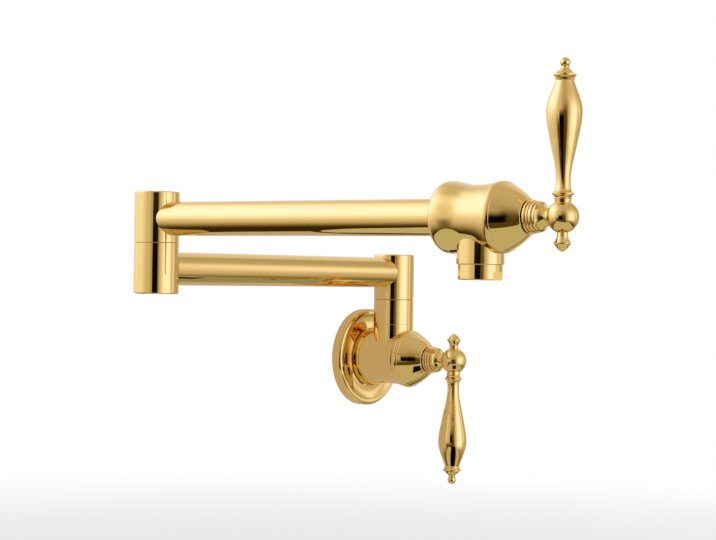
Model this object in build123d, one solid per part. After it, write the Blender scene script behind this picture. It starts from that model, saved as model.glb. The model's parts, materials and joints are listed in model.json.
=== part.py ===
from build123d import *
import os
from math import sqrt

# Wall mounted pot filler with two swivelling arms and a quarter-turn valve at each end.
# Millimetres, +Z up. The wall is the plane Y = 0 and the object stands out along -Y. The
# origin is the mouth of the inlet thread, in the wall plane, on the axis of the wall valve.
# At rest the lower arm lies along the wall, to -X, and the upper arm comes straight out, to -Y.

# ---------------------------------------------------------------- reach and heights
wall_to_riser = 29.5            # wall to the upright axis of the riser
lower_arm_length = 254.0        # riser axis to elbow axis
upper_arm_length = 260.5        # elbow axis to outlet axis
boss_height = 25.3              # valve axis to the top of the riser boss
sleeve_height = 18.3            # plain ring between the boss and the swivelling head
head_height = 33.3
head_tube_rise = 19.9           # foot of the head to the axis of the lower tube
elbow_half_height = 33.3
elbow_lower_tube_rise = 16.6    # foot of the lower half to the axis of the lower tube
elbow_upper_tube_rise = 15.5    # foot of the upper half to the axis of the upper tube

# ---------------------------------------------------------------- tubes and swivels
tube_diameter = 22.0
tube_wall = 1.5
swivel_diameter = 29.5          # riser boss, sleeve, head and both elbow halves
swivel_edge = 0.9               # rounding of the free rims
saddle_cover = 0.25             # how far a tube's end reaches past its socket's lowest rim
post_diameter = 13.0            # hollow post that a swivel turns on
post_bore = 8.5
post_thread = 14.8              # screwed end of a post
post_thread_length = 11.0       # engagement in the riser boss
post_flange = 19.0
post_flange_height = 2.5
post_tail = 1.6                 # post beyond its clip
waterway = 13.0                 # opening from a tube into its chamber
chamber_diameter = 16.8
chamber_clear = 2.8             # chamber beyond the waterway, on the running side
cap_diameter = 18.4
cap_height = 2.3
cap_bevel = 0.5
seal_section = 1.8              # O-ring cord
seal_squeeze = 0.25             # cord flattened in its groove
seal_pitch = 4.0
seal_play = 0.2                 # groove wider than its seal
clip_outer = 15.6
clip_height = 1.2
clip_play = 0.05                # groove wider than its clip
clip_depth = 1.0                # groove of a clip
clip_gap = 4.0                  # opening of a clip
washer_outer = 27.2
washer_inner = 21.2
washer_height = 1.15
seam = 0.3                      # hairline between a swivelling piece and its seat

# ---------------------------------------------------------------- fits
running_gap = 0.05              # radial, between pieces that turn on each other
thread_gap = 0.04               # radial, between screwed or pressed pieces

# ---------------------------------------------------------------- wall flange
flange_diameter = 72.0
flange_rim_height = 6.2         # straight outer wall
flange_height = 8.4             # top of the rolled rim
flange_bead_width = 4.6
flange_bead_height = 0.5        # bead above the rim of the dish
flange_dish_depth = 1.5
flange_edge = 0.4               # bevel where the rim meets the wall
flange_lip_drop = 0.4           # rim of the well below the rim of the dish
flange_hub_bore = 43.6          # well round the valve's back shoulder
flange_web = 2.6                # floor of the well, clamped by the valve
flange_skin = 2.2
flange_rim_land = 2.4           # rim's bearing width on the wall
flange_corner = 1.4             # bevel in the hollow behind the rim
flange_hole_gap = 0.3           # radial, round the inlet spigot
gasket_height = 1.2
gasket_width = 8.5
gasket_gap = 0.6                # radial, round the inlet spigot

# ---------------------------------------------------------------- valve body, both ends
body_back = 25.5                # upright axis to the back face
body_shoulder = 42.6            # diameter of the back shoulder
body_shoulder_round = 4.8       # rounding between the shoulder and the flat back
body_waist = 37.8
body_waist_set = 3.5            # waist behind the upright axis
body_lip = 41.6                 # diameter of the front lip's crown
body_lip_set = 14.6             # crown ahead of the upright axis
body_lip_flare = 0.3            # slope of the side where it reaches the crown
body_front = 18.8               # upright axis to the front face
body_front_face = 40.2
inlet_thread_bore = 18.6        # G1/2, at the crest of the female thread
inlet_depth = 14.0
inlet_spigot = 26.6             # collar that centres the flange
passage = 11.0
seat_set = 8.0                  # cartridge seat behind the upright axis
cartridge_bore = 20.6
bonnet_spigot = 30.0
bonnet_spigot_wall = 2.0
bonnet_spigot_length = 3.5
tube_socket_depth = 11.5        # upper tube into the back of the spout valve
neck_diameter = 28.0            # outlet neck under the spout valve
neck_drop = 27.5
neck_bore = 24.0
neck_thread_depth = 9.0
neck_edge = 0.5

# ---------------------------------------------------------------- bonnet
bonnet_base = 39.8
bonnet_tip = 21.2
bonnet_length = 15.2
bonnet_swell = 0.5              # how far the cone's side bows outwards
bonnet_tip_edge = 0.7
bonnet_wall = 2.2
bonnet_mouth = 15.0

# ---------------------------------------------------------------- ceramic headwork
barrel_diameter = 17.4
barrel_wall = 1.1
barrel_lift = 0.6               # foot of the barrel above the seat
headwork_hex = 22.0             # across flats
headwork_hex_height = 5.0
headwork_thread_length = 9.5
headwork_neck = 14.0
headwork_neck_length = 5.5
seat_seal_height = 2.5
seat_seal_bore = 10.6
disc_height = 3.0
disc_port = 3.6
disc_port_set = 4.5             # port's centre from the disc's axis
stem_foot_height = 2.5
stem_diameter = 8.0
stem_flute = 0.35               # depth of the splines
stem_flutes = 12
stem_end = 43.6                 # upright axis to the stem's end
stem_clip_outer = 11.0
stem_clip_gap = 4.8
stem_seal_section = 1.5
window_width = 8.0

# ---------------------------------------------------------------- lever and its hub
hub_set = 35.0                  # upright axis to the collar's back
ball_set = 56.4                 # upright axis to the ball's centre
ball_diameter = 18.8
collar_diameter = 19.8
collar_ring_heights = [1.6, 1.2, 1.8, 1.6]
collar_losses = [0.0, 0.5, 0.75, 1.3]       # how much smaller in radius each ring is
collar_groove = 0.4             # width and depth of the line between two rings
collar_edge = 0.2
neck_radius = 4.85              # bell neck where it runs into the ball
hub_screw_diameter = 4.0
hub_screw_length = 4.4
hub_screw_socket = 2.0          # across flats
hub_screw_set = 3.4             # screw's axis ahead of the collar's back
lever_seat = 10.2               # diameter of the ball's flat under the lever
lever_stub = 5.0
stub_length = 3.5               # pressed stubs of the lever and its tail
lever_foot = 9.4
lever_foot_height = 2.2
lever_bead = 0.35
lever_ring = 12.8
lever_ring_set = 13.0           # ball's centre to the ring; the waist is set from there too
lever_waist = 8.3
lever_waist_set = 20.0
lever_length = 89.9             # ball's centre to the tip; the drops are measured down from it
lever_flank = 15.6
lever_flank_drop = 47.9
lever_bulge = 20.8
lever_bulge_drop = 30.9
lever_top_waist = 10.4
lever_top_waist_drop = 13.1
lever_top_fall = 0.35           # slope of the side where it reaches the top waist
lever_top_ring = 13.4
lever_top_ring_drop = 10.0
lever_shoulder = 7.9
lever_shoulder_drop = 7.4
lever_neck = 4.5
lever_tip_bead = 6.0
tail_seat = 6.6                 # diameter of the ball's flat under the tail
tail_stub = 4.0
tail_neck = 6.4
tail_neck_length = 1.9
tail_length = 19.8              # ball's centre to the acorn's tip
tail_bulge = 9.9
tail_bulge_drop = 5.1
tail_shoulder = 8.1
tail_shoulder_drop = 3.5
tail_tip = 2.4

# ---------------------------------------------------------------- aerator
aerator_diameter = 26.0
aerator_height = 9.0
aerator_flats = 24.4            # across the two wrench flats
aerator_flat_height = 5.0
aerator_bore = 20.4
aerator_lip = 1.2
aerator_lip_bore = 18.4
aerator_thread_length = 7.5
aerator_washer_bore = 18.0
aerator_cup_wall = 1.2
aerator_grid = 1.6              # thickness of the flow grid
aerator_grid_margin = 0.6       # solid rim between the cup's wall and the holes
aerator_hole = 1.5
aerator_pitch = 2.3
aerator_edge = 0.8

# ---------------------------------------------------------------- derived places
body_back_face = body_shoulder - 2 * body_shoulder_round
web_top = gasket_height + flange_web
tube_radius = tube_diameter / 2
swivel_radius = swivel_diameter / 2
tube_seat = sqrt(swivel_radius ** 2 - tube_radius ** 2) - saddle_cover
sleeve_top = boss_height + sleeve_height
head_foot = sleeve_top + seam
lower_tube_height = head_foot + head_tube_rise
elbow_foot = lower_tube_height - elbow_lower_tube_rise
elbow_seam_foot = elbow_foot + elbow_half_height
elbow_upper_foot = elbow_seam_foot + seam
upper_tube_height = elbow_upper_foot + elbow_upper_tube_rise
riser_screwed_length = sleeve_height - post_flange_height + post_thread_length
elbow_screwed_length = elbow_upper_tube_rise - waterway / 2 - post_flange_height
running_length = head_tube_rise - waterway / 2 - chamber_clear
elbow_running_length = elbow_half_height - elbow_lower_tube_rise - waterway / 2 - seam
stem_foot_top = seat_seal_height + 2 * disc_height + stem_foot_height - seat_set
headwork_face = body_front
hex_top = headwork_face + headwork_hex_height
headwork_top = hex_top + headwork_neck_length
disc_diameter = barrel_diameter - 2 * barrel_wall - 2 * running_gap
stem_seal_low = (headwork_face + hex_top) / 2
stem_seal_high = stem_seal_low + stem_seal_section + seal_play
hub_screw_height = hub_set + hub_screw_set
ball_radius = ball_diameter / 2
lever_seat_height = sqrt(ball_radius ** 2 - (lever_seat / 2) ** 2)
tail_seat_height = sqrt(ball_radius ** 2 - (tail_seat / 2) ** 2)

riser_axis = Pos(0, -wall_to_riser, 0)
elbow_axis = Pos(-lower_arm_length, -wall_to_riser, 0)
outlet_axis = Pos(-lower_arm_length, -wall_to_riser - upper_arm_length, upper_tube_height)
forwards = Rot(90, 0, 0)        # turns a piece drawn along +Z so that it points along -Y
half_turn = Rot(0, 0, 180)


# ================================================================ turning and drilling
BOTTOM = (Align.CENTER, Align.CENTER, Align.MIN)


def turn(outline):
    """Solid of revolution about Z. The outline holds edges in (radius, height)."""
    return revolve(Plane.XZ * make_face(Curve() + outline), Axis.Z)


def rod(diameter, low, high):
    return Pos(0, 0, low) * Cylinder(diameter / 2, high - low, align=BOTTOM)


def ring(outer, inner, low, high):
    return rod(outer, low, high) - rod(inner, low, high)


def side_rod(diameter, start, end):
    """Round bar along +Y, from start to end."""
    return Rot(-90, 0, 0) * rod(diameter, start, end)


def rims(drum):
    """Circular edges of a drum, from its foot upwards."""
    return drum.edges().filter_by(GeomType.CIRCLE).sort_by(Axis.Z)


def o_ring(outer, section, height):
    """Round cord bent into a ring about Z."""
    return Pos(0, 0, height) * Torus((outer - section) / 2, section / 2)


def open_clip(outer, shaft, low, gap):
    """Spring clip in a shaft's groove: a flat ring with a gap on one side."""
    inner = shaft - 2 * clip_depth + 2 * thread_gap
    clip = ring(outer, inner, low, low + clip_height - clip_play)
    return clip - Pos(outer / 2, 0, low) * Box(outer, gap, clip_height, align=BOTTOM)


def clip_groove(shaft, low):
    return ring(shaft + 2 * clip_depth, shaft - 2 * clip_depth, low, low + clip_height)


# ================================================================ wall flange
def wall_flange():
    """Turned cover plate, drawn along +Z with its back on the wall."""
    radius = flange_diameter / 2
    bead_top = radius - flange_bead_width / 2
    bead_foot = radius - flange_bead_width
    well = flange_hub_bore / 2
    dish_rim = flange_height - flange_bead_height
    dish_floor = flange_height - flange_dish_depth
    hollow = dish_floor - flange_skin
    land = radius - flange_rim_land
    hole = inlet_spigot / 2 + flange_hole_gap
    outline = [
        Polyline((radius - flange_edge, 0), (radius, flange_edge), (radius, flange_rim_height)),
        Spline((radius, flange_rim_height), (bead_top, flange_height), tangents=[(0, 1), (-1, 0)]),
        Spline((bead_top, flange_height), (bead_foot, dish_rim), tangents=[(-1, 0), (-1, -1)]),
        ThreePointArc((bead_foot, dish_rim), ((bead_foot + well) / 2, dish_floor),
                      (well, dish_rim - flange_lip_drop)),
        Polyline((well, dish_rim - flange_lip_drop), (well, web_top), (hole, web_top),
                 (hole, gasket_height), (well + flange_skin, gasket_height),
                 (well + flange_skin, hollow), (land - flange_corner, hollow),
                 (land, hollow - flange_corner), (land, 0), (radius - flange_edge, 0)),
    ]
    return turn(outline)


def flange_gasket():
    inner = inlet_spigot + 2 * gasket_gap
    return ring(inner + 2 * gasket_width, inner, 0, gasket_height)


# ================================================================ valve bodies
def valve_shell():
    """Hourglass casting drawn along +Z, with the upright axis at height 0, and its spigot."""
    back_rim = (body_back_face / 2, -body_back)
    shoulder = (body_shoulder / 2, -body_back + body_shoulder_round)
    waist = (body_waist / 2, -body_waist_set)
    crown = (body_lip / 2, body_lip_set)
    front_rim = (body_front_face / 2, body_front)
    flare = (body_lip_flare, 1)
    outline = [
        Line((0, -body_back), back_rim),
        TangentArc(back_rim, shoulder, tangent=(1, 0)),
        Spline(shoulder, waist, crown, tangents=[(0, 1), (0, 1), flare]),
        TangentArc(crown, front_rim, tangent=flare),
        Polyline(front_rim, (0, body_front), (0, -body_back)),
    ]
    inner = bonnet_spigot - 2 * bonnet_spigot_wall
    return turn(outline) + ring(bonnet_spigot, inner, body_front, body_front + bonnet_spigot_length)


def valve_bores():
    """Cartridge bore from the front and the passage that feeds its seat."""
    return rod(cartridge_bore, -seat_set, body_front) + rod(passage, -wall_to_riser, -seat_set)


def wall_valve_body():
    """Female inlet at the back and a screwed riser boss on top (+Y before it is turned)."""
    wall = -wall_to_riser
    body = valve_shell() + rod(inlet_spigot, wall, -seat_set)
    body += rod(body_back_face, wall + web_top, -seat_set)
    body += side_rod(swivel_diameter, 0, boss_height)
    body -= valve_bores()
    body -= rod(inlet_thread_bore, wall, wall + inlet_depth)
    body -= side_rod(post_bore, 0, boss_height)
    body -= side_rod(post_thread + 2 * thread_gap, boss_height - post_thread_length, boss_height)
    return body


def spout_valve_body():
    """Tube socket at the back and an outlet neck under the body (-Y before it is turned)."""
    neck = side_rod(neck_diameter, -neck_drop, 0)
    neck_rim = neck.edges().filter_by(GeomType.CIRCLE).sort_by(Axis.Y)[0]
    body = valve_shell() + fillet(neck_rim, neck_edge)
    body -= valve_bores()
    body -= rod(tube_diameter + 2 * thread_gap, -body_back, -body_back + tube_socket_depth)
    body -= side_rod(passage, -neck_drop, 0)
    body -= side_rod(neck_bore, -neck_drop, -neck_drop + neck_thread_depth)
    return body


# ================================================================ bonnet and headwork
def bonnet():
    """Cone that screws on the body's spigot and hides the headwork."""
    foot = body_front
    top = foot + bonnet_length
    base, tip = bonnet_base / 2, bonnet_tip / 2
    slope = (base - tip) / bonnet_length
    thread = bonnet_spigot / 2 + thread_gap
    thread_top = foot + bonnet_spigot_length
    inner_top = top - bonnet_wall
    inner_tip = tip + slope * bonnet_wall - bonnet_wall * sqrt(1 + slope ** 2)
    inner_foot = inner_tip + slope * (inner_top - thread_top)
    edge = (tip, top - bonnet_tip_edge)
    outline = [
        ThreePointArc((base, foot), ((base + tip) / 2 + bonnet_swell, foot + bonnet_length / 2), edge),
        Polyline(edge, (tip - bonnet_tip_edge, top), (bonnet_mouth / 2, top),
                 (bonnet_mouth / 2, inner_top), (inner_tip, inner_top), (inner_foot, thread_top),
                 (thread, thread_top), (thread, foot), (base, foot)),
    ]
    return turn(outline)


def headwork():
    """Brass housing of the quarter-turn cartridge: ported barrel, thread, hexagon and neck."""
    foot = barrel_lift - seat_set
    thread_foot = headwork_face - headwork_thread_length
    body = rod(barrel_diameter, foot, thread_foot)
    body += rod(cartridge_bore - 2 * thread_gap, thread_foot, headwork_face)
    hexagon = RegularPolygon(headwork_hex / 2, 6, major_radius=False)
    body += Pos(0, 0, headwork_face) * extrude(hexagon, headwork_hex_height)
    body += rod(headwork_neck, hex_top, headwork_top)
    body -= rod(barrel_diameter - 2 * barrel_wall, foot, stem_foot_top + running_gap)
    body -= rod(stem_diameter + 2 * running_gap, stem_foot_top, headwork_top)
    window_foot = seat_seal_height + disc_height - seat_set
    window_height = disc_height + stem_foot_height
    return body - Pos(0, 0, window_foot) * Box(
        barrel_diameter, window_width, window_height, align=BOTTOM)


def ceramic_disc(low):
    """Lapped disc with two ports on one line."""
    disc = rod(disc_diameter, low, low + disc_height)
    for side in (-1, 1):
        disc -= Pos(side * disc_port_set, 0, 0) * rod(disc_port, low, low + disc_height)
    return disc


def seat_seal():
    return ring(disc_diameter, seat_seal_bore, -seat_set, seat_seal_height - seat_set)


def stem():
    """Foot that drives the moving disc, shaft with a seal groove and a clip groove, fluted end."""
    foot = stem_foot_top - stem_foot_height
    shaft = rod(disc_diameter, foot, stem_foot_top) + rod(stem_diameter, stem_foot_top, stem_end)
    for side in (-1, 1):
        shaft -= Pos(0, side * disc_port_set, 0) * rod(disc_port, foot, stem_foot_top)
    shaft -= ring(2 * stem_diameter, stem_diameter - 2 * stem_seal_section, stem_seal_low, stem_seal_high)
    shaft -= clip_groove(stem_diameter, headwork_top)
    flute = Pos(stem_diameter / 2, 0, 0) * rod(2 * stem_flute, headwork_top + 2 * clip_height, stem_end)
    return shaft - PolarLocations(0, stem_flutes) * flute


def stem_seal():
    return o_ring(stem_diameter, stem_seal_section, (stem_seal_low + stem_seal_high) / 2)


def stem_clip():
    return open_clip(stem_clip_outer, stem_diameter, headwork_top, stem_clip_gap)


# ================================================================ lever set
def handle_hub():
    """Stepped collar, bell neck and ball, turned in one piece and drilled for lever and tail."""
    radii = [collar_diameter / 2 - loss for loss in collar_losses]
    corners = [(0, hub_set)]
    height = hub_set
    for number, radius in enumerate(radii):
        top = height + collar_ring_heights[number]
        corners += [(radius - collar_edge, height), (radius, height + collar_edge)]
        corners += [(radius, top - collar_edge), (radius - collar_edge, top)]
        if number < len(radii) - 1:
            floor = radii[number + 1] - collar_edge - collar_groove
            corners += [(floor, top), (floor, top + collar_groove)]
            height = top + collar_groove
    neck = (neck_radius, ball_set - sqrt(ball_radius ** 2 - neck_radius ** 2))
    ball_top = (0, ball_set + ball_radius)
    hub = turn([
        Polyline(*corners),
        TangentArc(neck, corners[-1], tangent=(0, -1)),
        ThreePointArc(neck, (ball_radius, ball_set), ball_top),
        Line(ball_top, (0, hub_set)),
    ])
    hub -= rod(stem_diameter + 2 * thread_gap, hub_set, stem_end)
    drilled = rod(ball_diameter, lever_seat_height, ball_diameter)
    drilled += rod(lever_stub + 2 * thread_gap, lever_seat_height - stub_length, ball_diameter)
    drilled += rod(ball_diameter, -ball_diameter, -tail_seat_height)
    drilled += rod(tail_stub + 2 * thread_gap, -ball_diameter, stub_length - tail_seat_height)
    hub -= Pos(0, 0, ball_set) * Rot(-90, 0, 0) * drilled
    return hub - Pos(0, 0, hub_screw_height) * side_rod(
        hub_screw_diameter + 2 * thread_gap, -collar_diameter, 0)


def hub_screw():
    """Grub screw in the collar, on the side away from the lever, with its hexagon socket."""
    tip = stem_diameter / 2
    hexagon = RegularPolygon(hub_screw_socket / 2, 6, major_radius=False)
    screw = rod(hub_screw_diameter, tip, tip + hub_screw_length)
    screw -= Pos(0, 0, tip + hub_screw_length / 2) * extrude(hexagon, hub_screw_length)
    return Pos(0, 0, hub_screw_height) * Rot(90, 0, 0) * screw


def lever():
    """Baluster lever turned about its own axis, from the flat on the ball to the tip bead."""
    seat = lever_seat_height
    stub = (lever_stub / 2, seat - stub_length)
    foot = lever_foot / 2
    bead_low = seat + lever_foot_height
    ring_low = bead_low + 2 * lever_bead
    ring_high = 2 * lever_ring_set - ring_low
    waist = (lever_waist / 2, lever_waist_set)
    flank = (lever_flank / 2, lever_length - lever_flank_drop)
    bulge = (lever_bulge / 2, lever_length - lever_bulge_drop)
    top_waist = (lever_top_waist / 2, lever_length - lever_top_waist_drop)
    top_ring = (lever_top_ring / 2, lever_length - lever_top_ring_drop)
    shoulder = (lever_shoulder / 2, lever_length - lever_shoulder_drop)
    bead = lever_tip_bead / 2
    bead_height = lever_length - bead
    neck = (lever_neck / 2, bead_height - sqrt(bead ** 2 - (lever_neck / 2) ** 2))
    outline = [
        Polyline((0, lever_length), (0, stub[1]), stub, (stub[0], seat), (foot, seat), (foot, bead_low)),
        ThreePointArc((foot, bead_low), (foot + lever_bead, bead_low + lever_bead), (foot, ring_low)),
        ThreePointArc((foot, ring_low), (lever_ring / 2, lever_ring_set), (foot, ring_high)),
        TangentArc(waist, (foot, ring_high), tangent=(0, -1)),
        Spline(waist, flank, bulge, tangents=[(0, 1), (0, 1)]),
        Spline(bulge, top_waist, tangents=[(0, 1), (-lever_top_fall, 1)]),
        ThreePointArc(top_waist, top_ring, shoulder),
        TangentArc(neck, shoulder, tangent=(0, -1)),
        ThreePointArc(neck, (bead, bead_height), (0, lever_length)),
    ]
    return Pos(0, 0, ball_set) * Rot(-90, 0, 0) * turn(outline)


def lever_tail():
    """Acorn opposite the lever, drawn with its tip up and then turned over."""
    seat = tail_seat_height
    stub = (tail_stub / 2, seat - stub_length)
    neck = (tail_neck / 2, seat + tail_neck_length)
    bulge = (tail_bulge / 2, tail_length - tail_bulge_drop)
    shoulder = (tail_shoulder / 2, tail_length - tail_shoulder_drop)
    tip = (tail_tip / 2, tail_length - tail_tip / 2)
    outline = [
        Polyline((0, tail_length), (0, stub[1]), stub, (stub[0], seat), (neck[0], seat), neck),
        TangentArc(neck, bulge, tangent=(0, 1)),
        TangentArc(bulge, shoulder, tangent=(0, 1)),
        Line(shoulder, tip),
        TangentArc((0, tail_length), tip, tangent=(1, 0)),
    ]
    return Pos(0, 0, ball_set) * Rot(90, 0, 0) * turn(outline)


# ================================================================ swivels
def swivel_washer(seat_height):
    """Slippery ring let into the top of the piece below, standing just clear of the piece above."""
    top = seat_height + seam - running_gap
    return ring(washer_outer, washer_inner, top - washer_height, top)


def washer_groove(seat_height):
    floor = seat_height + seam - running_gap - washer_height
    return ring(washer_outer + 2 * thread_gap, washer_inner - 2 * thread_gap, floor, seat_height)


def seal_heights(running):
    middle = post_flange_height + running / 2
    return (middle - seal_pitch / 2, middle + seal_pitch / 2)


def post(screwed, running):
    """Hollow post drawn from its flange: screwed end below 0, flange and running length above."""
    clip_low = post_flange_height + running + running_gap
    top = clip_low + clip_height + post_tail
    shape = rod(post_thread, -screwed, 0) + rod(post_flange, 0, post_flange_height)
    shape += rod(post_diameter, 0, top)
    shape -= rod(post_bore, -screwed, top)
    groove = (seal_section + seal_play) / 2
    floor = post_diameter - 2 * (seal_section - seal_squeeze)
    for middle in seal_heights(running):
        shape -= ring(2 * post_diameter, floor, middle - groove, middle + groove)
    return shape - clip_groove(post_diameter, clip_low)


def post_seals(running):
    flattened = seal_section - seal_squeeze
    return Compound(children=[o_ring(post_diameter, flattened, middle) for middle in seal_heights(running)])


def post_clip(running):
    return open_clip(clip_outer, post_diameter, post_flange_height + running + running_gap, clip_gap)


def tube_socket(height, direction):
    """Blind socket for a tube and the narrower waterway behind it."""
    socket = rod(tube_diameter + 2 * thread_gap, tube_seat, swivel_diameter)
    socket += rod(waterway, 0, swivel_diameter)
    return Pos(0, 0, height) * Rot(0, 0, direction) * Rot(0, 90, 0) * socket


def swivel_cap():
    """Bevelled plug drawn with its face up at height 0."""
    cap = rod(cap_diameter, -cap_height, 0)
    return chamfer(rims(cap)[-1], cap_bevel)


def cap_recess():
    return rod(cap_diameter + 2 * thread_gap, -cap_height, 0)


def riser_sleeve():
    sleeve = rod(swivel_diameter, boss_height, sleeve_top)
    sleeve -= rod(post_thread + 2 * thread_gap, boss_height, sleeve_top)
    sleeve -= rod(post_flange + 2 * thread_gap, sleeve_top - post_flange_height, sleeve_top)
    return sleeve - washer_groove(sleeve_top)


def riser_head():
    """Drum that turns on the riser post; the lower tube plugs into its side."""
    top = head_foot + head_height
    drum = rod(swivel_diameter, head_foot, top)
    head = fillet(rims(drum)[-1], swivel_edge)
    head -= rod(post_diameter + 2 * running_gap, head_foot, top)
    head -= rod(chamber_diameter, head_foot + running_length, top)
    head -= tube_socket(lower_tube_height, 180)
    return head - Pos(0, 0, top) * cap_recess()


def elbow_lower_half():
    """Drum on the lower tube's far end; the elbow post turns in it and its foot is plugged."""
    drum = rod(swivel_diameter, elbow_foot, elbow_seam_foot)
    half = fillet(rims(drum)[0], swivel_edge)
    half -= rod(post_diameter + 2 * running_gap, elbow_foot, elbow_seam_foot)
    half -= rod(chamber_diameter, elbow_foot, elbow_seam_foot - elbow_running_length)
    half -= tube_socket(lower_tube_height, 0)
    half -= Pos(0, 0, elbow_foot) * Rot(180, 0, 0) * cap_recess()
    return half - washer_groove(elbow_seam_foot)


def elbow_upper_half():
    """Drum that carries the elbow post and the upper tube."""
    top = elbow_upper_foot + elbow_half_height
    drum = rod(swivel_diameter, elbow_upper_foot, top)
    half = fillet(rims(drum)[-1], swivel_edge)
    half -= rod(post_flange + 2 * thread_gap, elbow_upper_foot, elbow_upper_foot + post_flange_height)
    half -= rod(post_thread + 2 * thread_gap, elbow_upper_foot, upper_tube_height)
    half -= rod(chamber_diameter, upper_tube_height - waterway / 2, top)
    half -= tube_socket(upper_tube_height, -90)
    return half - Pos(0, 0, top) * cap_recess()


def tube(start, end):
    return ring(tube_diameter, tube_diameter - 2 * tube_wall, start, end)


# ================================================================ aerator
def aerator_housing():
    """Screwed ring under the outlet neck with two wrench flats, drawn downwards from height 0."""
    foot = -aerator_height
    drum = rod(aerator_diameter, foot, 0)
    body = chamfer(rims(drum)[0], aerator_edge)
    slab = Box(aerator_diameter, aerator_diameter, aerator_flat_height, align=BOTTOM)
    for side in (-1, 1):
        body -= Pos(0, side * (aerator_flats + aerator_diameter) / 2, foot) * slab
    body += rod(neck_bore - 2 * thread_gap, 0, aerator_thread_length)
    body -= rod(aerator_bore, foot + aerator_lip, aerator_thread_length)
    return body - rod(aerator_lip_bore, foot, 0)


def aerator_washer():
    return ring(neck_bore - 2 * thread_gap, aerator_washer_bore, aerator_thread_length, neck_thread_depth)


def aerator_insert():
    """Cup that stands on the housing's lip, with a grid of square holes in its floor."""
    foot = aerator_lip - aerator_height
    outer = aerator_bore - 2 * thread_gap
    inner = outer - 2 * aerator_cup_wall
    insert = rod(outer, foot, aerator_thread_length)
    insert -= rod(inner, foot + aerator_grid, aerator_thread_length)
    reach = inner / 2 - aerator_grid_margin - aerator_hole / sqrt(2)
    steps = int(reach // aerator_pitch)
    hole = Box(aerator_hole, aerator_hole, aerator_grid, align=BOTTOM)
    holes = []
    for column in range(-steps, steps + 1):
        for row in range(-steps, steps + 1):
            x, y = column * aerator_pitch, row * aerator_pitch
            if sqrt(x ** 2 + y ** 2) < reach:
                holes.append(Pos(x, y, foot) * hole)
    return insert - holes


# ================================================================ assembly
def write(name, shape):
    export_step(shape, "parts/" + name + ".step")


def write_valve_set(prefix, place, lever_turn):
    """Headwork, bonnet and lever set, the same at both ends."""
    fixed = {
        "cartridge_housing": headwork(),
        "fixed_disc": ceramic_disc(seat_seal_height - seat_set),
        "cartridge_seal": seat_seal(),
        "bonnet": bonnet(),
    }
    moving = {
        "cartridge_stem": stem(),
        "moving_disc": Rot(0, 0, 90) * ceramic_disc(seat_seal_height + disc_height - seat_set),
        "stem_clip": stem_clip(),
        "stem_seal": stem_seal(),
        "handle_hub": handle_hub(),
        "lever": lever(),
        "lever_tail": lever_tail(),
        "hub_screw": hub_screw(),
    }
    for name, shape in fixed.items():
        write(prefix + "_" + name, place * forwards * shape)
    for name, shape in moving.items():
        write(prefix + "_" + name, place * forwards * lever_turn * shape)


os.makedirs("parts", exist_ok=True)

# Fixed to the wall
post_floor = Pos(0, 0, sleeve_top - post_flange_height)
riser_running = running_length + seam
write("wall_flange", forwards * wall_flange())
write("flange_gasket", forwards * flange_gasket())
write("wall_valve_body", riser_axis * forwards * wall_valve_body())
write("riser_sleeve", riser_axis * riser_sleeve())
write("riser_post", riser_axis * post_floor * post(riser_screwed_length, riser_running))
write("riser_post_seals", riser_axis * post_floor * post_seals(riser_running))
write("riser_post_clip", riser_axis * post_floor * post_clip(riser_running))
write("riser_swivel_washer", riser_axis * swivel_washer(sleeve_top))
write_valve_set("wall", riser_axis, half_turn)

# Lower arm
along_wall = Pos(0, 0, lower_tube_height) * Rot(0, -90, 0)
write("riser_head", riser_axis * riser_head())
write("riser_head_cap", riser_axis * Pos(0, 0, head_foot + head_height) * swivel_cap())
write("lower_tube", riser_axis * along_wall * tube(tube_seat, lower_arm_length - tube_seat))
write("elbow_lower_half", elbow_axis * elbow_lower_half())
write("elbow_bottom_cap", elbow_axis * Pos(0, 0, elbow_foot) * Rot(180, 0, 0) * swivel_cap())
write("elbow_swivel_washer", elbow_axis * swivel_washer(elbow_seam_foot))

# Upper arm
hanging = elbow_axis * Pos(0, 0, elbow_upper_foot + post_flange_height) * Rot(180, 0, 0)
elbow_running = elbow_running_length + seam
write("elbow_upper_half", elbow_axis * elbow_upper_half())
write("elbow_top_cap", elbow_axis * Pos(0, 0, elbow_upper_foot + elbow_half_height) * swivel_cap())
write("elbow_post", hanging * post(elbow_screwed_length, elbow_running))
write("elbow_post_seals", hanging * post_seals(elbow_running))
write("elbow_post_clip", hanging * post_clip(elbow_running))
outwards = elbow_axis * Pos(0, 0, upper_tube_height) * forwards
upper_tube_end = upper_arm_length - body_back + tube_socket_depth
write("upper_tube", outwards * tube(tube_seat, upper_tube_end))
write("spout_valve_body", outlet_axis * forwards * spout_valve_body())
under_neck = outlet_axis * Pos(0, 0, -neck_drop)
write("aerator_housing", under_neck * aerator_housing())
write("aerator_washer", under_neck * aerator_washer())
write("aerator_insert", under_neck * aerator_insert())
write_valve_set("spout", outlet_axis, Rot(0, 0, 0))
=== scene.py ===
# %% [markdown]
# # A wall mounted pot filler in polished gold
#
# A pot filler is a cold tap on a folding arm. It is screwed to the wall above a cooker, swings out
# over a pot, and folds back flat. Almost everything that shows is turned on a lathe and then
# polished and coated, so this scene is a lesson in two things: modelling turned pieces so finely
# that they reflect cleanly, and lighting polished metal, which shows little but its surroundings.
#
# The construction is already there, at its real size, as a frame of named nodes on moving bodies.
# This script dresses that frame: a piece that shows is modelled again with round, dense surfaces,
# and a piece that hides inside keeps its mesh and gets the finish of its real material.

# %% Load the frame and note its box
import json
from math import atan2, cos, pi, radians, sin, sqrt

import bpy
from mathutils import Matrix, Vector


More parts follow.
